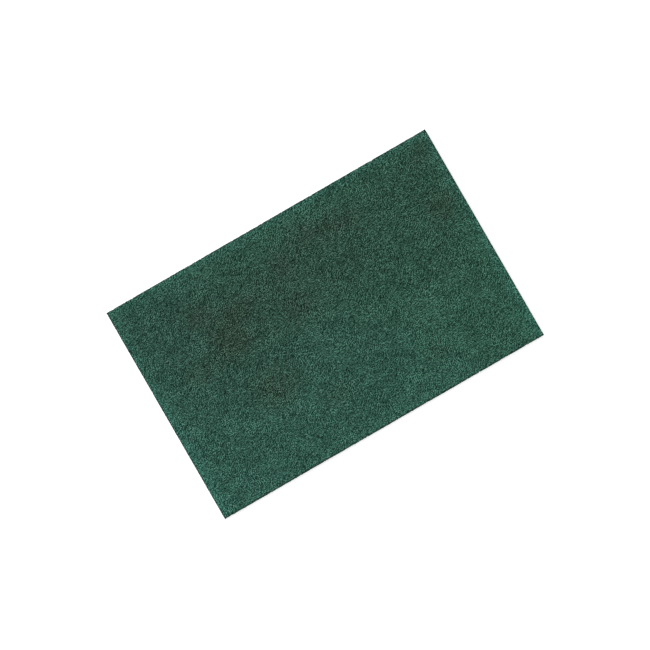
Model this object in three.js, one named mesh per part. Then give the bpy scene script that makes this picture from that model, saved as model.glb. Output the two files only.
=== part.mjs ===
// A nylon scouring pad: one rectangle of green non-woven web, cut square and lying flat.
// Units are millimetres. +Z is up and +X runs along the long side.
// The origin is the middle of the underside, in the plane that the pad rests on.

import * as THREE from "three";

// The cut size, and the thickness over the fibre knots of both faces.
const PAD_LENGTH = 230;
const PAD_WIDTH = 149;
const PAD_THICKNESS = 6;

// Knots of fibre stand level with each face, and open pores lie between them.
const PORE_PITCH = 4;
const PORE_DEPTH = 0.6;
const PORE_SHARE = 0.55;
// How far a knot or pore strays from an even spacing, as a share of that spacing.
const STRAY = 0.22;

// The blade pinches the web, so both faces close in on each other at the cut edge.
const EDGE_PINCH = 0.45;

const WEB_GREEN = 0x315145;
const WEB_ROUGHNESS = 0.95;

const COLUMNS = Math.max(2, Math.round(PAD_LENGTH / PORE_PITCH));
const ROWS = Math.max(2, Math.round(PAD_WIDTH / PORE_PITCH));
const EDGE_LAYERS = 2;

// What a scattered number is drawn for, so that no two uses share their numbers.
const DEPTH = 0;
const SHIFT_ALONG = 1;
const SHIFT_ACROSS = 2;

// A repeatable number from 0 to 1 for one knot or pore of one face.
function scatter(column, row, face, use) {
  const perFace = (COLUMNS + 1) * (ROWS + 1);
  const sheet = 2 * use + (face > 0 ? 0 : 1);
  return THREE.MathUtils.seededRandom(sheet * perFace + row * (COLUMNS + 1) + column);
}

// How far the web's surface lies below the plane of the fibre knots.
function poreDepth(column, row, face) {
  const chance = scatter(column, row, face, DEPTH);
  return chance < PORE_SHARE ? PORE_DEPTH * (1 - chance / PORE_SHARE) : 0;
}

// How far a knot or pore lies from its even place, either way.
function stray(column, row, face, use, spacing) {
  return (2 * scatter(column, row, face, use) - 1) * STRAY * spacing;
}

// Turns an evenly divided box into the web: pores in both faces, and pinched cut edges.
function webGeometry() {
  const geometry = new THREE.BoxGeometry(
    PAD_LENGTH, PAD_WIDTH, PAD_THICKNESS, COLUMNS, ROWS, EDGE_LAYERS,
  );
  const position = geometry.getAttribute("position");
  const along = PAD_LENGTH / COLUMNS;
  const across = PAD_WIDTH / ROWS;
  for (let i = 0; i < position.count; i++) {
    const x = position.getX(i);
    const y = position.getY(i);
    const face = Math.sign(Math.round((2 * position.getZ(i)) / PAD_THICKNESS));
    if (face === 0) continue;
    const column = Math.round(x / along + COLUMNS / 2);
    const row = Math.round(y / across + ROWS / 2);
    const cut = column === 0 || column === COLUMNS || row === 0 || row === ROWS;
    const drop = cut ? EDGE_PINCH : poreDepth(column, row, face);
    position.setZ(i, face * (PAD_THICKNESS / 2 - drop));
    if (cut) continue;
    position.setX(i, x + stray(column, row, face, SHIFT_ALONG, along));
    position.setY(i, y + stray(column, row, face, SHIFT_ACROSS, across));
  }
  geometry.translate(0, 0, PAD_THICKNESS / 2);
  geometry.computeVertexNormals();
  return geometry;
}

const web = new THREE.Mesh(
  webGeometry(),
  new THREE.MeshStandardMaterial({ color: WEB_GREEN, roughness: WEB_ROUGHNESS, metalness: 0 }),
);
web.name = "scouring_pad";

const pad = new THREE.Group();
pad.add(web);

export default pad;
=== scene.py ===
"""A nylon scouring pad: green non-woven web with square-cut edges, lying flat on a pale table."""

import math

import bpy
from mathutils import Matrix, Vector


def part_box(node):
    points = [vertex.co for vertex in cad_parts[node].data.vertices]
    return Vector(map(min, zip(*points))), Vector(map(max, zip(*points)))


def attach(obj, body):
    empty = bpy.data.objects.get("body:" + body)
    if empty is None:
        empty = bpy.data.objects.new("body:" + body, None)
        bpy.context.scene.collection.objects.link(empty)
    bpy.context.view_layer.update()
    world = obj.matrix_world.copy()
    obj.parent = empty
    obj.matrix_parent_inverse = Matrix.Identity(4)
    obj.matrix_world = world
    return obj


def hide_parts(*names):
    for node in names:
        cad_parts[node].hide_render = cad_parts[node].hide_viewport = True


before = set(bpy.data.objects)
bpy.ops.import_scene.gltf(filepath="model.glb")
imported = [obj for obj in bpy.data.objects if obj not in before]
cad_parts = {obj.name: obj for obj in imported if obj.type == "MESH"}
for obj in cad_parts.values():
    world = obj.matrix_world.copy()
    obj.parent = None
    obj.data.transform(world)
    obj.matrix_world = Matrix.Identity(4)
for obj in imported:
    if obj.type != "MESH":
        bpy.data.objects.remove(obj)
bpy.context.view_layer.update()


# Camera
# The pad is seen from almost straight above through a long lens, and turned 30 degrees in the frame.
# The lens leans a little towards the lower long edge, so that a sliver of that cut edge shows.
FRAME_PIXELS = 650
PAD_LENGTH_PIXELS = 368.1
PAD_MIDDLE_PIXELS = Vector((325.06, 324.04))
TURN_IN_FRAME = math.radians(30)
LEAN = math.radians(6)
EYE_DISTANCE = 12.0
SENSOR_MM = 36.0
NEAREST_SEEN = 0.1
FURTHEST_SEEN = 100.0

pad_low, pad_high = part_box("scouring_pad")
pad_size = pad_high - pad_low
pad_middle = (pad_low + pad_high) / 2
metres_per_pixel = pad_size.x / PAD_LENGTH_PIXELS

towards_eye = Vector((0, -math.sin(LEAN), math.cos(LEAN)))
along_pad = Vector((1, 0, 0))
across_pad = towards_eye.cross(along_pad)
picture_right = math.cos(TURN_IN_FRAME) * along_pad - math.sin(TURN_IN_FRAME) * across_pad
picture_up = math.sin(TURN_IN_FRAME) * along_pad + math.cos(TURN_IN_FRAME) * across_pad
off_centre = metres_per_pixel * (PAD_MIDDLE_PIXELS - Vector((FRAME_PIXELS, FRAME_PIXELS)) / 2)
aim = pad_middle - off_centre.x * picture_right + off_centre.y * picture_up

camera_data = bpy.data.cameras.new("camera")
camera_data.sensor_width = SENSOR_MM
camera_data.lens = SENSOR_MM * EYE_DISTANCE / (FRAME_PIXELS * metres_per_pixel)
camera_data.clip_start = NEAREST_SEEN
camera_data.clip_end = FURTHEST_SEEN
camera = bpy.data.objects.new("camera", camera_data)
camera_axes = Matrix((picture_right, picture_up, towards_eye)).transposed()
camera.matrix_world = Matrix.Translation(aim + EYE_DISTANCE * towards_eye) @ camera_axes.to_4x4()
bpy.context.scene.collection.objects.link(camera)
bpy.context.scene.camera = camera


# Heart of the web
# The middle of the pad is a felt of crimped nylon, sprayed with resin and baked, too dense to see through.
# It shows between the fibres of the faces as a darker ground, with pores of a millimetre or two, whose
# darkness is painted shade.
HEART_BELOW_FACE = 0.00055
HEART_INSIDE_CUT = 0.00025
HEART_CELL = 0.00100
PORE_SPACING = 0.0021
PORE_DEPTH = 0.00025
LOFT_SPACING = 0.017
LOFT_DEPTH = 0.00010

# The noise values at a pore's brim and at its floor, and the share of a pore's depth on the cut edges.
PORE_BRIM = 0.60
PORE_FLOOR = 0.36
DEPTH_ON_EDGE = 0.25
ON_EDGE_BELOW = 0.5

# The knife pinches the web, so the fibres of both faces close in on the heart near the cut.
HEART_PINCH = 0.00005
CUT_PINCH = 0.00035
CUT_PINCH_REACH = 0.0030

# The web is dyed green, a little bluer towards one corner and yellower towards the opposite one. Its colour
# is paler towards one long edge and darker up the pad. It is browner where the resin lies thick.
BLUER_GREEN = (0.034, 0.212, 0.146, 1)
YELLOWER_GREEN = (0.031, 0.210, 0.125, 1)
DYE_DRIFT_TOWARDS = (0.77, 0.64, 0.0)
DYE_DRIFT_REACH = 0.11
PALER_LONG_EDGE = 1.13
DARKER_LONG_EDGE = 0.88
DARKEST_UP_THE_PAD = 0.7
RESIN_BROWN = (0.033, 0.141, 0.082, 1)

# It is bluer in a rim and paler in a wider border along three cuts. The paler long edge stays plain, because
# the rim and border are laid out as if the pad were shifted this far away from it, and as much wider.
RIM_TEAL = (0.038, 0.270, 0.187, 1)
RIM_SHARE = 0.8
RIM_REACH = 0.0080
PALE_BORDER = 0.14
PALE_BORDER_REACH = 0.024
PLAIN_LONG_EDGE = 0.005

# Cut edges are darker than the faces, which is painted shade, and the colour is mottled everywhere.
CUT_EDGE_PAINTED_SHADE = 0.40
MOTTLE = 0.06
MOTTLE_SPACINGS = (0.007, 0.022)

# Where the resin lies thick, as soft ovals: place from the pad's middle, reach, and strength. Each oval fades
# between these shares of its reach, and noise pushes its outline this far out of shape.
MM = 0.001
PATCH_FULL_WITHIN = 0.1
PATCH_GONE_BEYOND = 1.5
RAGGED = 0.014
RAGS_SPACING = 0.011
RESIN_PATCHES = [
    ((-56, 21), (15, 15), 0.90),
    ((-66, 43), (12, 8), 0.70),
    ((-43, 36), (12, 8), 0.65),
    ((19, 54), (15, 8), 0.65),
    ((40, 51), (13, 8), 0.65),
    ((100, 28), (10, 10), 0.65),
    ((-6, 46), (8, 10), 0.50),
    ((-8, 16), (13, 8), 0.50),
    ((-84, 12), (13, 8), 0.45),
    ((-46, -20), (16, 15), 0.75),
    ((53, -50), (8, 6), 0.45),
    ((-14, -43), (14, 8), 0.35),
    ((106, 62), (11, 10), 0.50),
    ((6, 30), (46, 24), 0.32),
    ((-50, 20), (44, 40), 0.25),
]

# The grey that whitens the tops of the strands is partly pale grit and partly a painted sheen of the resin.
# The finest grit and strands are a pattern: its spacings, stretches and turn, the noise values at the foot
# and at the top of a strand, and how much of the pattern is strands.
GRIT_AND_PAINTED_SHEEN = (0.105, 0.092, 0.095)
GRIT_SPACING = 0.00057
GRIT_STRETCH = (0.9, 1.0, 0.0)
GRIT_TURN = math.radians(31)
STRAND_SPACING = 0.00085
STRAND_STRETCH = (0.36, 1.0, 0.0)
STRAND_SHARE = 0.23
STRAND_FOOT = 0.42
STRAND_TOP = 0.66

# Brightness in the pores, which is painted shade, and on the tops of the strands, and the finish of the
# resin.
HEART_LIGHT = (0.09, 0.98)
HEART_ROUGHNESS = 0.85
HEART_SHINE = 0.05
HEART_BUMP = 0.00015
HEART_BUMP_STRENGTH = 0.8


def add(tree, kind, inputs=None, **settings):
    """A new node, with its settings made, and each named input set or linked."""
    node = tree.nodes.new(kind)
    for name, value in settings.items():
        setattr(node, name, value)
    for name, value in (inputs or {}).items():
        if isinstance(value, bpy.types.NodeSocket):
            tree.links.new(value, node.inputs[name])
        else:
            node.inputs[name].default_value = value
    return node


def maths(tree, operation, *terms):
    """One step of arithmetic in a node tree."""
    return add(tree, "ShaderNodeMath", dict(enumerate(terms)), operation=operation).outputs[0]


def summed(tree, *terms):
    """The sum of several terms in a node tree."""
    total = terms[0]
    for term in terms[1:]:
        total = maths(tree, "ADD", total, term)
    return total


def product(tree, *terms):
    """The product of several terms in a node tree."""
    total = terms[0]
    for term in terms[1:]:
        total = maths(tree, "MULTIPLY", total, term)
    return total


def vectors(tree, operation, *terms):
    """One step of arithmetic on vectors in a node tree."""
    return add(tree, "ShaderNodeVectorMath", dict(enumerate(terms)), operation=operation).outputs[0]


def scaled(tree, vector, factor):
    """A vector made longer or shorter in a node tree."""
    return add(tree, "ShaderNodeVectorMath", {0: vector, "Scale": factor}, operation="SCALE").outputs[0]


def ramp(tree, value, start, end, low=0.0, high=1.0):
    """A value that goes smoothly from low at start to high at end."""
    inputs = {"Value": value, "From Min": start, "From Max": end, "To Min": low, "To Max": high}
    return add(tree, "ShaderNodeMapRange", inputs, interpolation_type="SMOOTHSTEP").outputs[0]


def noise(tree, vector, spacing, detail, **settings):
    """Smooth noise from 0 to 1, with its lumps about this far apart."""
    inputs = {"Vector": vector, "Scale": maths(tree, "DIVIDE", 1.0, spacing), "Detail": detail}
    return add(tree, "ShaderNodeTexNoise", inputs, **settings).outputs


def flat_noise(tree, vector, spacing):
    """Noise over X and Y alone, whose lumps are all about this far apart."""
    return noise(tree, vector, spacing, detail=0.0, noise_dimensions="2D")[0]


def parts(tree, vector):
    """The three numbers of a vector."""
    return add(tree, "ShaderNodeSeparateXYZ", {0: vector}).outputs


def joined(tree, x, y, z):
    """A vector of three numbers."""
    return add(tree, "ShaderNodeCombineXYZ", {0: x, 1: y, 2: z}).outputs[0]


def mixed_colours(tree, share, first, second):
    """One colour laid over another by a share."""
    return add(tree, "ShaderNodeMix", {0: share, 6: first, 7: second}, data_type="RGBA").outputs[2]


def inset_from_cut(tree, place, size):
    """How far a place lies inside the nearest cut edge of a rectangle about the origin."""
    x, y, _ = parts(tree, place)
    length, width, _ = parts(tree, size)
    insets = [
        maths(tree, "SUBTRACT", maths(tree, "MULTIPLY", side, 0.5), maths(tree, "ABSOLUTE", offset))
        for side, offset in ((length, x), (width, y))
    ]
    return maths(tree, "MINIMUM", *insets)


def new_tree(name, kind, inputs, output):
    """An empty node tree with named sockets, and the nodes that stand for them."""
    tree = bpy.data.node_groups.new(name, kind)
    for label, socket in inputs:
        tree.interface.new_socket(label, in_out="INPUT", socket_type="NodeSocket" + socket)
    tree.interface.new_socket(output[0], in_out="OUTPUT", socket_type="NodeSocket" + output[1])
    return tree, tree.nodes.new("NodeGroupInput").outputs, tree.nodes.new("NodeGroupOutput").inputs[0]


def stored(tree, geometry, name, kind, value, domain="POINT"):
    """The geometry with a value stored on it under this name."""
    inputs = {"Geometry": geometry, "Name": name, "Value": value}
    return add(tree, "GeometryNodeStoreNamedAttribute", inputs, data_type=kind, domain=domain).outputs[0]


def finished_shape(tree, shape, material, made):
    """Ends a geometry tree: smooth faces, plain geometry and one material."""
    smooth = add(tree, "GeometryNodeSetShadeSmooth", {"Geometry": shape}).outputs[0]
    plain = add(tree, "GeometryNodeRealizeInstances", {"Geometry": smooth}).outputs[0]
    dressed = add(tree, "GeometryNodeSetMaterial", {"Geometry": plain, "Material": material})
    tree.links.new(dressed.outputs[0], made)


def grown(name, tree, values, place):
    """The mesh that a geometry tree makes from these values, moved to its place, as a new object."""
    carrier = bpy.data.meshes.new(name + "_carrier")
    holder = bpy.data.objects.new(name + "_carrier", carrier)
    bpy.context.scene.collection.objects.link(holder)
    modifier = holder.modifiers.new("grow", "NODES")
    modifier.node_group = tree
    for item in tree.interface.items_tree:
        if item.in_out == "INPUT":
            modifier[item.identifier] = values[item.name]
    evaluated = holder.evaluated_get(bpy.context.evaluated_depsgraph_get())
    mesh = bpy.data.meshes.new_from_object(evaluated)
    mesh.name = name
    bpy.data.objects.remove(holder)
    bpy.data.meshes.remove(carrier)
    mesh.transform(place)
    piece = bpy.data.objects.new(name, mesh)
    bpy.context.scene.collection.objects.link(piece)
    return piece


def heart_tree():
    """A box of small cells, whose faces sink into pores and swell gently between them."""
    tree, given, made = new_tree(
        "Heart of the web",
        "GeometryNodeTree",
        [
            ("Size", "Vector"),
            ("Cell", "Float"),
            ("Pore Spacing", "Float"),
            ("Pore Depth", "Float"),
            ("Loft Spacing", "Float"),
            ("Loft Depth", "Float"),
            ("Pinch", "Float"),
            ("Pinch Reach", "Float"),
            ("Material", "Material"),
        ],
        ("Geometry", "Geometry"),
    )
    box_inputs = {"Size": given["Size"]}
    for axis, side in zip("XYZ", parts(tree, given["Size"])):
        cells = maths(tree, "CEIL", maths(tree, "DIVIDE", side, given["Cell"]))
        box_inputs["Vertices " + axis] = maths(tree, "ADD", cells, 1.0)
    box = add(tree, "GeometryNodeMeshCube", box_inputs).outputs[0]
    place = add(tree, "GeometryNodeInputPosition").outputs[0]
    normal = add(tree, "GeometryNodeInputNormal").outputs[0]

    # The faces sink inwards into the pores, fully on the two faces and less on the cut edges.
    pore = ramp(tree, noise(tree, place, given["Pore Spacing"], detail=2.0)[0], PORE_BRIM, PORE_FLOOR)
    loft = noise(tree, place, given["Loft Spacing"], detail=1.0)[0]
    level = maths(tree, "ABSOLUTE", parts(tree, normal)[2])
    facing = ramp(tree, level, 0.0, 1.0, DEPTH_ON_EDGE, 1.0)
    sink = summed(tree, product(tree, pore, given["Pore Depth"]), product(tree, loft, given["Loft Depth"]))
    inwards = scaled(tree, normal, product(tree, sink, facing, -1.0))

    # Near the cut, both faces close in on each other.
    from_cut = inset_from_cut(tree, place, given["Size"])
    pinch = ramp(tree, from_cut, given["Pinch Reach"], 0.0, 0.0, given["Pinch"])
    side = maths(tree, "SIGN", parts(tree, place)[2])
    closing = joined(tree, 0.0, 0.0, product(tree, pinch, side, -1.0))

    marked = stored(tree, box, "facing", "FLOAT", facing)
    offset = vectors(tree, "ADD", inwards, closing)
    shaped = add(tree, "GeometryNodeSetPosition", {"Geometry": marked, "Offset": offset}).outputs[0]
    finished_shape(tree, shaped, given["Material"], made)
    return tree


def resin_share(tree, place):
    """How thick the resin lies at a place: 1 in the middle of a strong patch, and 0 outside them all."""
    resin = 0.0
    for (along, across), (long_reach, wide_reach), strength in RESIN_PATCHES:
        offset = vectors(tree, "SUBTRACT", place, (along * MM, across * MM, 0))
        share = vectors(tree, "MULTIPLY", offset, (1 / (long_reach * MM), 1 / (wide_reach * MM), 0))
        reach = add(tree, "ShaderNodeVectorMath", {0: share}, operation="LENGTH").outputs["Value"]
        resin = maths(
            tree, "ADD", resin, ramp(tree, reach, PATCH_GONE_BEYOND, PATCH_FULL_WITHIN, 0.0, strength)
        )
    return maths(tree, "MINIMUM", resin, 1.0)


def web_colour_group():
    """The web's colour at each place: green, browner in the resin patches, and bluer near the cut."""
    tree, given, made = new_tree(
        "Web colour",
        "ShaderNodeTree",
        [
            ("Vector", "Vector"),
            ("Size", "Vector"),
            ("Bluer", "Color"),
            ("Yellower", "Color"),
            ("Brown", "Color"),
            ("Rim Colour", "Color"),
            ("Rim Reach", "Float"),
            ("Border Paler", "Float"),
            ("Border Reach", "Float"),
            ("Plain Edge", "Float"),
            ("Ragged", "Float"),
            ("Mottle", "Float"),
        ],
        ("Color", "Color"),
    )
    place = given["Vector"]
    swing = noise(tree, place, RAGS_SPACING, detail=4.0)["Color"]
    swing = vectors(tree, "SUBTRACT", swing, (0.5, 0.5, 0.5))
    ragged = vectors(tree, "ADD", place, scaled(tree, swing, given["Ragged"]))
    drift = add(tree, "ShaderNodeVectorMath", {0: ragged, 1: DYE_DRIFT_TOWARDS}, operation="DOT_PRODUCT")
    yellower = ramp(tree, drift.outputs["Value"], -DYE_DRIFT_REACH, DYE_DRIFT_REACH)
    dyed = mixed_colours(tree, yellower, given["Bluer"], given["Yellower"])
    dyed = mixed_colours(tree, resin_share(tree, ragged), dyed, given["Brown"])

    shift = joined(tree, 0.0, given["Plain Edge"], 0.0)
    edged = vectors(tree, "ADD", given["Size"], scaled(tree, shift, 2.0))
    from_rim = inset_from_cut(tree, vectors(tree, "ADD", place, shift), edged)
    from_border = inset_from_cut(tree, vectors(tree, "ADD", ragged, shift), edged)
    rim = ramp(tree, from_rim, given["Rim Reach"], 0.0, 0.0, RIM_SHARE)
    dyed = mixed_colours(tree, rim, dyed, given["Rim Colour"])

    half_width = maths(tree, "MULTIPLY", parts(tree, given["Size"])[1], 0.5)
    up_the_pad = maths(tree, "DIVIDE", parts(tree, ragged)[1], half_width)
    mottle = [
        maths(tree, "SUBTRACT", noise(tree, place, spacing, detail=2.0)[0], 0.5)
        for spacing in MOTTLE_SPACINGS
    ]
    brightness = summed(
        tree,
        ramp(tree, up_the_pad, -1.0, DARKEST_UP_THE_PAD, PALER_LONG_EDGE, DARKER_LONG_EDGE),
        ramp(tree, from_border, given["Border Reach"], 0.0, 0.0, given["Border Paler"]),
        product(tree, summed(tree, *mottle), given["Mottle"]),
    )
    tree.links.new(scaled(tree, dyed, brightness), made)
    return tree


def open_web_group():
    """How much light the web sends back: 1 on the topmost strands and grit, and 0 down in the pores, where it
    makes painted shade.
    """
    tree, given, made = new_tree(
        "Open web and painted pore shade",
        "ShaderNodeTree",
        [
            ("Vector", "Vector"),
            ("Grit", "Float"),
            ("Strands", "Float"),
            ("Strand Share", "Float"),
            ("Cut Edge", "Float"),
        ],
        ("Light", "Float"),
    )

    # The pattern is flat. It is laid over the faces, and on the cut edges it runs along them.
    x, y, z = parts(tree, given["Vector"])
    over_face = joined(tree, summed(tree, x, z), summed(tree, y, z), 0.0)
    round_edge = joined(tree, summed(tree, x, y), z, 0.0)
    turn_to_edge = vectors(tree, "SUBTRACT", round_edge, over_face)
    unrolled = vectors(tree, "ADD", over_face, scaled(tree, turn_to_edge, given["Cut Edge"]))

    turned = add(tree, "ShaderNodeVectorRotate", {"Vector": unrolled, "Angle": GRIT_TURN}).outputs[0]
    grit_place = vectors(tree, "MULTIPLY", turned, GRIT_STRETCH)
    grit = ramp(tree, flat_noise(tree, grit_place, given["Grit"]), STRAND_FOOT, STRAND_TOP)
    strand_place = vectors(tree, "MULTIPLY", unrolled, STRAND_STRETCH)
    strands = ramp(tree, flat_noise(tree, strand_place, given["Strands"]), STRAND_FOOT, STRAND_TOP)
    grit_share = maths(tree, "SUBTRACT", 1.0, given["Strand Share"])
    light = summed(tree, product(tree, grit, grit_share), product(tree, strands, given["Strand Share"]))
    tree.links.new(light, made)
    return tree


web_colour = web_colour_group()
open_web_and_pore_shade = open_web_group()
WEB_COLOURS = {
    "Size": pad_size,
    "Bluer": BLUER_GREEN,
    "Yellower": YELLOWER_GREEN,
    "Brown": RESIN_BROWN,
    "Rim Colour": RIM_TEAL,
    "Rim Reach": RIM_REACH,
    "Border Paler": PALE_BORDER,
    "Border Reach": PALE_BORDER_REACH,
    "Plain Edge": PLAIN_LONG_EDGE,
    "Ragged": RAGGED,
    "Mottle": MOTTLE,
}
WEB_PATTERN = {"Grit": GRIT_SPACING, "Strands": STRAND_SPACING, "Strand Share": STRAND_SHARE}


def new_material(name, roughness):
    """A material with one Principled shader of this roughness, and its node tree and shader."""
    material = bpy.data.materials.new(name)
    material.use_nodes = True
    shader = material.node_tree.nodes["Principled BSDF"]
    shader.inputs["Roughness"].default_value = roughness
    return material, material.node_tree, shader


def group(tree, node_tree, values):
    """A shader node group placed in a material with its own values, and its first output."""
    return add(tree, "ShaderNodeGroup", values, node_tree=node_tree).outputs[0]


def web_in_light(tree, place, strand_and_pore_shade, light):
    """The web's colour from its pores, darkened as painted shade, to the tops of its strands, which the grit
    and a painted sheen of the resin whiten.
    """
    dark, bright = light
    colour = group(tree, web_colour, WEB_COLOURS | {"Vector": place})
    lit = scaled(tree, colour, ramp(tree, strand_and_pore_shade, 0.0, 1.0, dark, bright))
    return vectors(tree, "ADD", lit, scaled(tree, GRIT_AND_PAINTED_SHEEN, product(tree, strand_and_pore_shade, strand_and_pore_shade)))


def set_bump(tree, shader, height, distance, strength):
    """Gives a shader a fine relief."""
    bump = add(tree, "ShaderNodeBump", {"Height": height, "Distance": distance, "Strength": strength})
    tree.links.new(bump.outputs[0], shader.inputs["Normal"])


def heart_material():
    """Dark green felt: curling lines of strands and grit over pores made near-black with painted shade, and
    painted shade on the cut edges.
    """
    material, tree, shader = new_material("web_heart", HEART_ROUGHNESS)
    shader.inputs["Specular IOR Level"].default_value = HEART_SHINE
    place = add(tree, "ShaderNodeTexCoord").outputs["Object"]
    facing = add(tree, "ShaderNodeAttribute", attribute_name="facing").outputs["Fac"]
    on_edge = maths(tree, "LESS_THAN", facing, ON_EDGE_BELOW)
    strand_and_pore_shade = group(tree, open_web_and_pore_shade, WEB_PATTERN | {"Vector": place, "Cut Edge": on_edge})
    # Painted shade: the heart's cut edges, which face sideways, are darkened.
    lit = ramp(tree, facing, DEPTH_ON_EDGE, 1.0, CUT_EDGE_PAINTED_SHADE, 1.0)
    colour = scaled(tree, web_in_light(tree, place, strand_and_pore_shade, HEART_LIGHT), lit)
    tree.links.new(colour, shader.inputs["Base Color"])
    set_bump(tree, shader, strand_and_pore_shade, HEART_BUMP, HEART_BUMP_STRENGTH)
    return material


heart = grown(
    "web_heart",
    heart_tree(),
    {
        "Size": pad_size - 2 * Vector((HEART_INSIDE_CUT, HEART_INSIDE_CUT, HEART_BELOW_FACE)),
        "Cell": HEART_CELL,
        "Pore Spacing": PORE_SPACING,
        "Pore Depth": PORE_DEPTH,
        "Loft Spacing": LOFT_SPACING,
        "Loft Depth": LOFT_DEPTH,
        "Pinch": HEART_PINCH,
        "Pinch Reach": CUT_PINCH_REACH,
        "Material": heart_material(),
    },
    Matrix.Translation(pad_middle),
)
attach(heart, "root")
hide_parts("scouring_pad")


# Fibres of the two faces
# Crimped nylon staple about a third of a millimetre thick with its resin, carded into a mat whose fibres
# mostly run along the pad. Each one winds in and out of the heart, and the knife cuts it off at the edge.
FIBRE_RADIUS = 0.00015
FIBRE_STEP = 0.00095
FIBRE_LENGTH = 0.020
FIBRE_SIDES = 3
FACE_FIBRES_PER_LAYER = 1620
FACE_LAYERS = 2
STREWN_PAST_CUT = 0.3

# How a fibre bends: its waves, its steady curl for each metre, its wandering, and its swing off the X axis.
CRIMP_SPACING = 0.0046
CRIMP_SPACING_SPREAD = (0.7, 1.4)
CRIMP_ANGLE = math.radians(62)
CRIMP_ANGLE_SPREAD = (0.45, 1.25)
CURL = 70.0
WANDER_ANGLE = 2.4
WANDERS_PER_METRE = 210.0
FACE_SWING = math.radians(60)

# How a fibre dips into the web and rises again, in the deepest case and at the least and most spacing.
FACE_DEPTH = 0.00045
FACE_RISE = 0.00016
RISE_SPACING = (0.005, 0.011)

# Resin and grit make lumps on it. It is thinner between them, and some fibres are thicker than others.
LUMPS_PER_METRE = 330.0
LUMPY_BETWEEN = (0.25, 0.75)
LUMP_THICKNESS = (0.75, 1.35)
FIBRE_THICKNESS = (0.75, 1.2)

# How far apart two fibres' places lie in the noise of their wandering and of their lumps.
WANDERS_APART = 7.3
LUMPS_APART = 3.1
LUMPS_ROW = 5.0

# The map keeps this share of its square, so that no fibre lies on its border.
MAP_SHARE = 0.99

# Brightness of a fibre from its painted shade in the pores to the tops of its strands.
FIBRE_LIGHT = (0.11, 1.12)
FIBRE_SHADES = (0.85, 1.15)
FIBRE_ROUGHNESS = 0.62
FIBRE_SHINE = 0.12
FIBRE_BUMP = 0.00006
FIBRE_BUMP_STRENGTH = 0.5

# Seeds are this far apart, because each use of chance within a piece adds its own small number to them.
SEED_STEP = 20
FACE_SEED = 100
UNDERSIDE_SEED = 200

# What a fibre's numbers are drawn for, so that no two uses share their numbers.
BEND, LAY, CRIMP_WIDTH, CRIMP_TURN, CRIMP_START, DIP, RISE_WIDTH, RISE_START, SHADE, GIRTH = range(1, 11)


def chance(tree, fibre, seed, use, low, high):
    """A number between low and high for each fibre, repeatable, and apart from its other numbers."""
    inputs = {2: low, 3: high, "ID": fibre, "Seed": maths(tree, "ADD", seed, float(use))}
    return add(tree, "FunctionNodeRandomValue", inputs).outputs[1]


def either_way(tree, fibre, seed, use, limit):
    """A number for each fibre between a limit and its negative."""
    return chance(tree, fibre, seed, use, maths(tree, "MULTIPLY", limit, -1.0), limit)


def strewn_points(tree, count, reach, seed):
    """Points strewn at random over a rectangle that reaches this far each way from the origin."""
    inputs = {0: scaled(tree, reach, -1.0), 1: reach, "Seed": seed}
    scatter = add(tree, "FunctionNodeRandomValue", inputs, data_type="FLOAT_VECTOR").outputs[0]
    return add(tree, "GeometryNodePoints", {"Count": count, "Position": scatter}).outputs[0]


def wave(tree, distance, spacing, phase, height):
    """A sine wave along a fibre."""
    turns = maths(tree, "DIVIDE", distance, spacing)
    angle = maths(tree, "MULTIPLY", maths(tree, "ADD", turns, phase), 2 * math.pi)
    return maths(tree, "MULTIPLY", maths(tree, "SINE", angle), height)


def named(tree, name, kind):
    """A value that is stored on the geometry under this name."""
    return add(tree, "GeometryNodeInputNamedAttribute", {"Name": name}, data_type=kind).outputs[0]


def kept_within(tree, value, limit):
    """A value kept between a limit and its negative."""
    inputs = {"Value": value, "Min": maths(tree, "MULTIPLY", limit, -1.0), "Max": limit}
    return add(tree, "ShaderNodeClamp", inputs).outputs[0]


def past_cut_of(tree, x, y, half_length, half_width):
    """How far a place lies outside a rectangle about the origin, and less than 0 inside it."""
    past_ends = [
        maths(tree, "SUBTRACT", maths(tree, "ABSOLUTE", offset), half)
        for offset, half in ((x, half_length), (y, half_width))
    ]
    return maths(tree, "MAXIMUM", *past_ends)


def straight_fibres(tree, given):
    """Fibres as rows of joints at one place each, which know their number, middle and way along."""
    index = add(tree, "GeometryNodeInputIndex").outputs[0]
    past_cut = scaled(tree, (1, 1, 0), maths(tree, "MULTIPLY", given["Length"], STREWN_PAST_CUT))
    reach = vectors(tree, "ADD", scaled(tree, given["Face Size"], 0.5), past_cut)
    points = strewn_points(tree, given["Fibres"], reach, given["Seed"])
    points = stored(tree, points, "fibre", "INT", index)
    place = add(tree, "GeometryNodeInputPosition").outputs[0]
    points = stored(tree, points, "middle", "FLOAT_VECTOR", place)
    joints = maths(tree, "ROUND", maths(tree, "DIVIDE", given["Length"], given["Step"]))
    line = add(tree, "GeometryNodeMeshLine", {"Count": joints, "Offset": (0, 0, 0)}).outputs[0]
    line = stored(tree, line, "along", "FLOAT", maths(tree, "MULTIPLY", index, given["Step"]))
    strewn = add(tree, "GeometryNodeInstanceOnPoints", {"Points": points, "Instance": line}).outputs[0]
    return add(tree, "GeometryNodeRealizeInstances", {"Geometry": strewn}).outputs[0]


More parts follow.
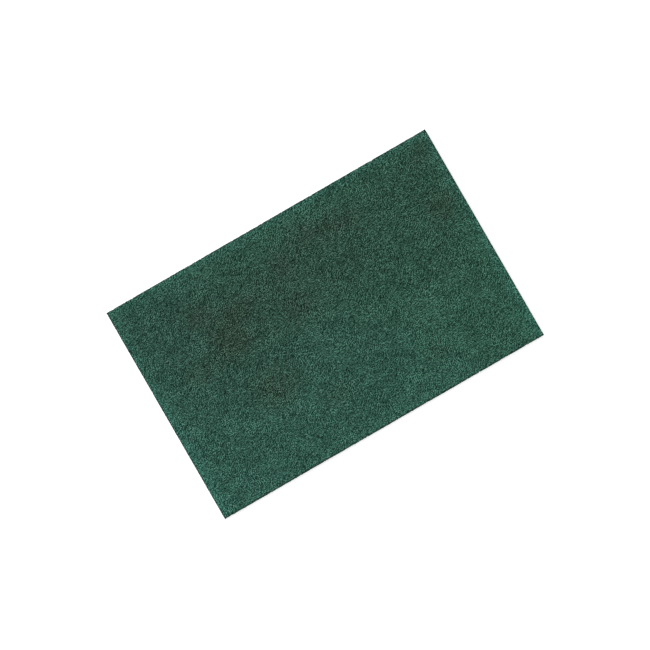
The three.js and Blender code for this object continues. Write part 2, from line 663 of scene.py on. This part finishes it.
def laid_place(tree, given, fibre, along):
    """Where each joint lies on the face, when the fibre winds from its middle both ways."""
    seed = given["Seed"]
    lay = either_way(tree, fibre, seed, LAY, given["Swing"])
    bend = product(tree, along, either_way(tree, fibre, seed, BEND, given["Curl"]))
    width = chance(tree, fibre, seed, CRIMP_WIDTH, *CRIMP_SPACING_SPREAD)
    turn = chance(tree, fibre, seed, CRIMP_TURN, *CRIMP_ANGLE_SPREAD)
    crimp = wave(
        tree,
        along,
        product(tree, given["Crimp Spacing"], width),
        chance(tree, fibre, seed, CRIMP_START, 0.0, 1.0),
        product(tree, given["Crimp Angle"], turn),
    )
    wander_at = joined(
        tree, product(tree, along, WANDERS_PER_METRE), product(tree, fibre, WANDERS_APART), 0.0
    )
    wander = maths(tree, "SUBTRACT", noise(tree, wander_at, 1.0, detail=1.0)[0], 0.5)
    heading = summed(tree, lay, bend, crimp, product(tree, wander, WANDER_ANGLE))
    ahead = joined(tree, maths(tree, "COSINE", heading), maths(tree, "SINE", heading), 0.0)
    steps = {0: scaled(tree, ahead, given["Step"]), "Group ID": fibre}
    walk = add(tree, "GeometryNodeAccumulateField", steps, data_type="FLOAT_VECTOR", domain="POINT").outputs
    centred = vectors(tree, "SUBTRACT", walk["Trailing"], scaled(tree, walk["Total"], 0.5))
    return vectors(tree, "ADD", named(tree, "middle", "FLOAT_VECTOR"), centred)


def height_on_face(tree, given, fibre, along, laid):
    """How far each joint lies below the face, as the fibre dips and rises and is pinched by the cut."""
    seed = given["Seed"]
    dip = chance(tree, fibre, seed, DIP, 0.0, 1.0)
    low = product(tree, dip, dip, given["Depth"])
    width = chance(tree, fibre, seed, RISE_WIDTH, *RISE_SPACING)
    start = chance(tree, fibre, seed, RISE_START, 0.0, 1.0)
    rise = wave(tree, along, width, start, given["Rise"])
    from_cut = inset_from_cut(tree, laid, given["Face Size"])
    pinch = ramp(tree, from_cut, given["Pinch Reach"], 0.0, 0.0, given["Pinch"])
    return maths(tree, "SUBTRACT", rise, summed(tree, given["Rise"], given["Radius"], low, pinch))


def thickness_of(tree, seed, fibre, along):
    """How many times its usual radius the fibre is at each joint."""
    lumps_at = joined(
        tree, product(tree, along, LUMPS_PER_METRE), product(tree, fibre, LUMPS_APART), LUMPS_ROW
    )
    lumps = ramp(tree, noise(tree, lumps_at, 1.0, detail=0.0)[0], *LUMPY_BETWEEN, *LUMP_THICKNESS)
    return product(tree, lumps, chance(tree, fibre, seed, GIRTH, *FIBRE_THICKNESS))


def captured(tree, geometry, **values):
    """The geometry with values caught on its points, and the node's outputs for the geometry and values."""
    node = add(tree, "GeometryNodeCaptureAttribute", {"Geometry": geometry}, domain="POINT")
    for name, (kind, value) in values.items():
        node.capture_items.new(kind, name)
        tree.links.new(value, node.inputs[name])
    return node.outputs


def tubes_along(tree, given, lines, thickness):
    """The lines as tubes, with a map that lays each fibre flat on its face with its sides spread open."""
    curve = captured(
        tree,
        add(tree, "GeometryNodeMeshToCurve", {"Mesh": lines}).outputs[0],
        centre=("VECTOR", add(tree, "GeometryNodeInputPosition").outputs[0]),
        tangent=("VECTOR", add(tree, "GeometryNodeInputTangent").outputs[0]),
    )
    ring = captured(
        tree,
        add(
            tree, "GeometryNodeCurvePrimitiveCircle", {"Resolution": FIBRE_SIDES, "Radius": given["Radius"]}
        ).outputs[0],
        side=("FLOAT", add(tree, "GeometryNodeInputIndex").outputs[0]),
    )
    swept = {"Curve": curve[0], "Profile Curve": ring[0], "Scale": thickness, "Fill Caps": True}
    tubes = add(tree, "GeometryNodeCurveToMesh", swept).outputs[0]
    tangent_x, tangent_y, _ = parts(tree, curve["tangent"])
    across = joined(tree, maths(tree, "MULTIPLY", tangent_y, -1.0), tangent_x, 0.0)
    sideways = scaled(tree, across, given["Radius"])
    spread = scaled(tree, sideways, maths(tree, "SUBTRACT", ring["side"], 1.0))
    on_map = vectors(tree, "DIVIDE", vectors(tree, "ADD", curve["centre"], spread), given["Face Size"])
    on_map = vectors(tree, "MULTIPLY_ADD", on_map, (MAP_SHARE, MAP_SHARE, 0), (0.5, 0.5, 0))
    return stored(tree, tubes, "OFBake", "FLOAT2", on_map, domain="CORNER")


def fibre_tree():
    """Crimped fibres strewn over a rectangle in the XY plane, outer side up, and cut off at its edges."""
    tree, given, made = new_tree(
        "Strewn fibres",
        "GeometryNodeTree",
        [
            ("Face Size", "Vector"),
            ("Fibres", "Int"),
            ("Length", "Float"),
            ("Step", "Float"),
            ("Radius", "Float"),
            ("Crimp Spacing", "Float"),
            ("Crimp Angle", "Float"),
            ("Curl", "Float"),
            ("Swing", "Float"),
            ("Depth", "Float"),
            ("Rise", "Float"),
            ("Pinch", "Float"),
            ("Pinch Reach", "Float"),
            ("Seed", "Int"),
            ("Material", "Material"),
        ],
        ("Geometry", "Geometry"),
    )
    seed = given["Seed"]
    fibre = named(tree, "fibre", "INT")
    along = named(tree, "along", "FLOAT")
    lines = straight_fibres(tree, given)
    laid = laid_place(tree, given, fibre, along)

    # Joints past the cut are drawn back to it, and those more than a step past it are left out.
    x, y, _ = parts(tree, laid)
    half_length, half_width, _ = parts(tree, scaled(tree, given["Face Size"], 0.5))
    lines = stored(tree, lines, "past_cut", "FLOAT", past_cut_of(tree, x, y, half_length, half_width))
    place = joined(
        tree,
        kept_within(tree, x, maths(tree, "SUBTRACT", half_length, given["Radius"])),
        kept_within(tree, y, maths(tree, "SUBTRACT", half_width, given["Radius"])),
        height_on_face(tree, given, fibre, along, laid),
    )
    lines = add(tree, "GeometryNodeSetPosition", {"Geometry": lines, "Position": place}).outputs[0]
    limits = {0: named(tree, "past_cut", "FLOAT"), 1: given["Step"]}
    outside = add(tree, "FunctionNodeCompare", limits, operation="GREATER_THAN").outputs[0]
    cut_off = {"Geometry": lines, "Selection": outside}
    lines = add(tree, "GeometryNodeDeleteGeometry", cut_off, domain="POINT").outputs[0]
    lines = stored(tree, lines, "shade", "FLOAT", chance(tree, fibre, seed, SHADE, 0.0, 1.0))

    shape = tubes_along(tree, given, lines, thickness_of(tree, seed, fibre, along))
    for name in ("fibre", "middle", "along", "past_cut"):
        shape = add(tree, "GeometryNodeRemoveAttribute", {"Geometry": shape, "Name": name}).outputs[0]
    finished_shape(tree, shape, given["Material"], made)
    return tree


def fibre_material(name, lit, on_edge):
    """Resin-coated nylon: each fibre a little lighter or darker than the next, beaded with fine grit, with
    painted shade in the pores and a painted sheen on top, and darkened by lit as painted shade.
    """
    material, tree, shader = new_material(name, FIBRE_ROUGHNESS)
    shader.inputs["Specular IOR Level"].default_value = FIBRE_SHINE
    place = add(tree, "ShaderNodeTexCoord").outputs["Object"]
    shade = add(tree, "ShaderNodeAttribute", attribute_name="shade").outputs["Fac"]
    strand_and_pore_shade = group(tree, open_web_and_pore_shade, WEB_PATTERN | {"Vector": place, "Cut Edge": on_edge})
    darkest, palest = FIBRE_SHADES
    shaded = ramp(tree, shade, 0.0, 1.0, darkest * lit, palest * lit)
    colour = scaled(tree, web_in_light(tree, place, strand_and_pore_shade, FIBRE_LIGHT), shaded)
    tree.links.new(colour, shader.inputs["Base Color"])
    set_bump(tree, shader, strand_and_pore_shade, FIBRE_BUMP, FIBRE_BUMP_STRENGTH)
    return material


strewn_fibres = fibre_tree()

FACE_FIBRES = {
    "Face Size": pad_size,
    "Fibres": FACE_FIBRES_PER_LAYER,
    "Length": FIBRE_LENGTH,
    "Step": FIBRE_STEP,
    "Radius": FIBRE_RADIUS,
    "Crimp Spacing": CRIMP_SPACING,
    "Crimp Angle": CRIMP_ANGLE,
    "Curl": CURL,
    "Swing": FACE_SWING,
    "Depth": FACE_DEPTH,
    "Rise": FACE_RISE,
    "Pinch": CUT_PINCH,
    "Pinch Reach": CUT_PINCH_REACH,
    "Material": fibre_material("web_fibre", lit=1.0, on_edge=0.0),
}

turned_over = Matrix.Rotation(math.pi, 4, "X")
face_up = Matrix.Translation((pad_middle.x, pad_middle.y, pad_high.z))
face_down = Matrix.Translation((pad_middle.x, pad_middle.y, pad_low.z)) @ turned_over
for face, place, first_seed in (("face", face_up, FACE_SEED), ("underside", face_down, UNDERSIDE_SEED)):
    for layer in range(FACE_LAYERS):
        values = FACE_FIBRES | {"Seed": first_seed + SEED_STEP * layer}
        fibres = grown(f"{face}_fibres_{layer + 1}", strewn_fibres, values, place)
        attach(fibres, "root")


# Fibres of the cut edges
# The knife leaves four raw edges, where the layers of the web show end on. Short lengths of fibre lie along
# each edge between the pinched faces, and the cut ends of others stand out of it like stubble.
EDGE_HEIGHT = pad_size.z - 2 * CUT_PINCH
EDGE_FIBRE_LENGTH = 0.0070
EDGE_FIBRE_SPACING = 0.00042
EDGE_SWING = math.radians(40)
EDGE_DEPTH = 0.00030
EDGE_RISE = 0.00008
EDGE_SEED = 300

STUB_SPACING = 0.0010
STUB_LENGTH = 0.00075
STUB_HEIGHTS = (0.55, 1.0)
STUB_RADIUS = 0.00012
STUB_TAPER = 0.8
STUB_SIDES = 4
STUB_LEAN = math.radians(35)
STUBS_STAND_OUT = 0.00005
STUB_SEED = 400

# What a stub's numbers are drawn for.
STUB_SHADE, LEAN_ALONG, LEAN_ACROSS, SPIN, HEIGHT = range(1, 6)


def stubble_tree():
    """Short cut ends of fibre, standing on a rectangle in the XY plane, and leaning every way."""
    tree, given, made = new_tree(
        "Cut ends",
        "GeometryNodeTree",
        [
            ("Face Size", "Vector"),
            ("Stubs", "Int"),
            ("Length", "Float"),
            ("Radius", "Float"),
            ("Stand Out", "Float"),
            ("Lean", "Float"),
            ("Seed", "Int"),
            ("Material", "Material"),
        ],
        ("Geometry", "Geometry"),
    )
    seed = given["Seed"]
    stub_number = add(tree, "GeometryNodeInputIndex").outputs[0]
    points = strewn_points(tree, given["Stubs"], scaled(tree, given["Face Size"], 0.5), seed)
    points = stored(tree, points, "shade", "FLOAT", chance(tree, stub_number, seed, STUB_SHADE, 0.0, 1.0))
    shape = {
        "Vertices": STUB_SIDES,
        "Radius Top": maths(tree, "MULTIPLY", given["Radius"], STUB_TAPER),
        "Radius Bottom": given["Radius"],
        "Depth": given["Length"],
    }
    stub = add(tree, "GeometryNodeMeshCone", shape).outputs[0]
    sunk = joined(tree, 0.0, 0.0, maths(tree, "SUBTRACT", given["Stand Out"], given["Length"]))
    stub = add(tree, "GeometryNodeTransform", {"Geometry": stub, "Translation": sunk}).outputs[0]
    turn = joined(
        tree,
        either_way(tree, stub_number, seed, LEAN_ALONG, given["Lean"]),
        either_way(tree, stub_number, seed, LEAN_ACROSS, given["Lean"]),
        chance(tree, stub_number, seed, SPIN, 0.0, math.pi),
    )
    size = joined(tree, 1.0, 1.0, chance(tree, stub_number, seed, HEIGHT, *STUB_HEIGHTS))
    planted = {"Points": points, "Instance": stub, "Rotation": turn, "Scale": size}
    stubble = add(tree, "GeometryNodeInstanceOnPoints", planted).outputs[0]
    finished_shape(tree, stubble, given["Material"], made)
    return tree


stubble = stubble_tree()
# The cut edges' fibres are a darker copy of the face fibres: painted shade.
shaded_cut_fibre = fibre_material("web_cut_fibre_shaded", lit=CUT_EDGE_PAINTED_SHADE, on_edge=1.0)
upright = Matrix.Rotation(math.pi / 2, 4, "X")
for side in range(4):
    edge_length, half_across = (pad_size.x, pad_size.y / 2) if side % 2 == 0 else (pad_size.y, pad_size.x / 2)
    outwards = Matrix.Rotation(side * math.pi / 2, 4, "Z")
    to_edge = Matrix.Translation((0, -half_across, 0))
    place = Matrix.Translation(pad_middle) @ outwards @ to_edge @ upright
    face_size = Vector((edge_length, EDGE_HEIGHT, 0))
    edge_area = edge_length * EDGE_HEIGHT
    lying = FACE_FIBRES | {
        "Face Size": face_size,
        "Fibres": round(edge_area / (EDGE_FIBRE_LENGTH * EDGE_FIBRE_SPACING)),
        "Length": EDGE_FIBRE_LENGTH,
        "Swing": EDGE_SWING,
        "Depth": EDGE_DEPTH,
        "Rise": EDGE_RISE,
        "Pinch": 0.0,
        "Seed": EDGE_SEED + SEED_STEP * side,
        "Material": shaded_cut_fibre,
    }
    standing = {
        "Face Size": face_size,
        "Stubs": round(edge_area / STUB_SPACING**2),
        "Length": STUB_LENGTH,
        "Radius": STUB_RADIUS,
        "Stand Out": STUBS_STAND_OUT,
        "Lean": STUB_LEAN,
        "Seed": STUB_SEED + SEED_STEP * side,
        "Material": shaded_cut_fibre,
    }
    for edge in (
        grown(f"edge_fibres_{side + 1}", strewn_fibres, lying, place),
        grown(f"edge_stubs_{side + 1}", stubble, standing, place),
    ):
        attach(edge, "root")


# Table and light
# A white table under a broad soft lamp, in a white studio. The table reads as white to the eye of the
# camera, and still takes the pad's faint shadow.
TABLE_HALF = 3.0
TABLE_BELOW_PAD = 0.0001
TABLE_CORNERS = ((-1, -1), (1, -1), (1, 1), (-1, 1))
TABLE_WHITE = (0.86, 0.86, 0.86, 1)
TABLE_ROUGHNESS = 0.9
TABLE_GLOW = 0.6
PURE_WHITE = (1, 1, 1, 1)
STUDIO_LIGHT = 0.62
LAMP_SIZE = 1.2
LAMP_PLACE = Vector((-0.5, 0.7, 1.6))
LAMP_POWER = 14.0


def seen_directly(tree):
    """1 for what is seen straight, in a reflection or through glass, and 0 for light that falls on things."""
    path = add(tree, "ShaderNodeLightPath").outputs
    seen = maths(tree, "MAXIMUM", path["Is Camera Ray"], path["Is Glossy Ray"])
    return maths(tree, "MAXIMUM", seen, path["Is Transmission Ray"])


table_top = pad_low.z - TABLE_BELOW_PAD
table_mesh = bpy.data.meshes.new("table")
table_corners = [(x * TABLE_HALF, y * TABLE_HALF, table_top) for x, y in TABLE_CORNERS]
table_mesh.from_pydata(table_corners, [], [(0, 1, 2, 3)])
table = bpy.data.objects.new("table", table_mesh)
bpy.context.scene.collection.objects.link(table)
table_material, table_tree, table_shader = new_material("table_white", TABLE_ROUGHNESS)
table_shader.inputs["Base Color"].default_value = TABLE_WHITE
table_shader.inputs["Emission Color"].default_value = PURE_WHITE
table_glow = product(table_tree, seen_directly(table_tree), TABLE_GLOW)
table_tree.links.new(table_glow, table_shader.inputs["Emission Strength"])
table_mesh.materials.append(table_material)

studio = bpy.data.worlds.new("studio")
studio.use_nodes = True
bpy.context.scene.world = studio
studio_tree = studio.node_tree
backdrop = studio_tree.nodes["Background"]
backdrop.inputs["Color"].default_value = PURE_WHITE
studio_strength = ramp(studio_tree, seen_directly(studio_tree), 0.0, 1.0, STUDIO_LIGHT, 1.0)
studio_tree.links.new(studio_strength, backdrop.inputs["Strength"])

lamp_data = bpy.data.lights.new("soft_lamp", "AREA")
lamp_data.size = LAMP_SIZE
lamp_data.energy = LAMP_POWER
lamp = bpy.data.objects.new("soft_lamp", lamp_data)
lamp_turn = LAMP_PLACE.to_track_quat("Z", "Y").to_matrix().to_4x4()
lamp.matrix_world = Matrix.Translation(LAMP_PLACE) @ lamp_turn
bpy.context.scene.collection.objects.link(lamp)

bpy.context.scene.view_settings.view_transform = "Standard"
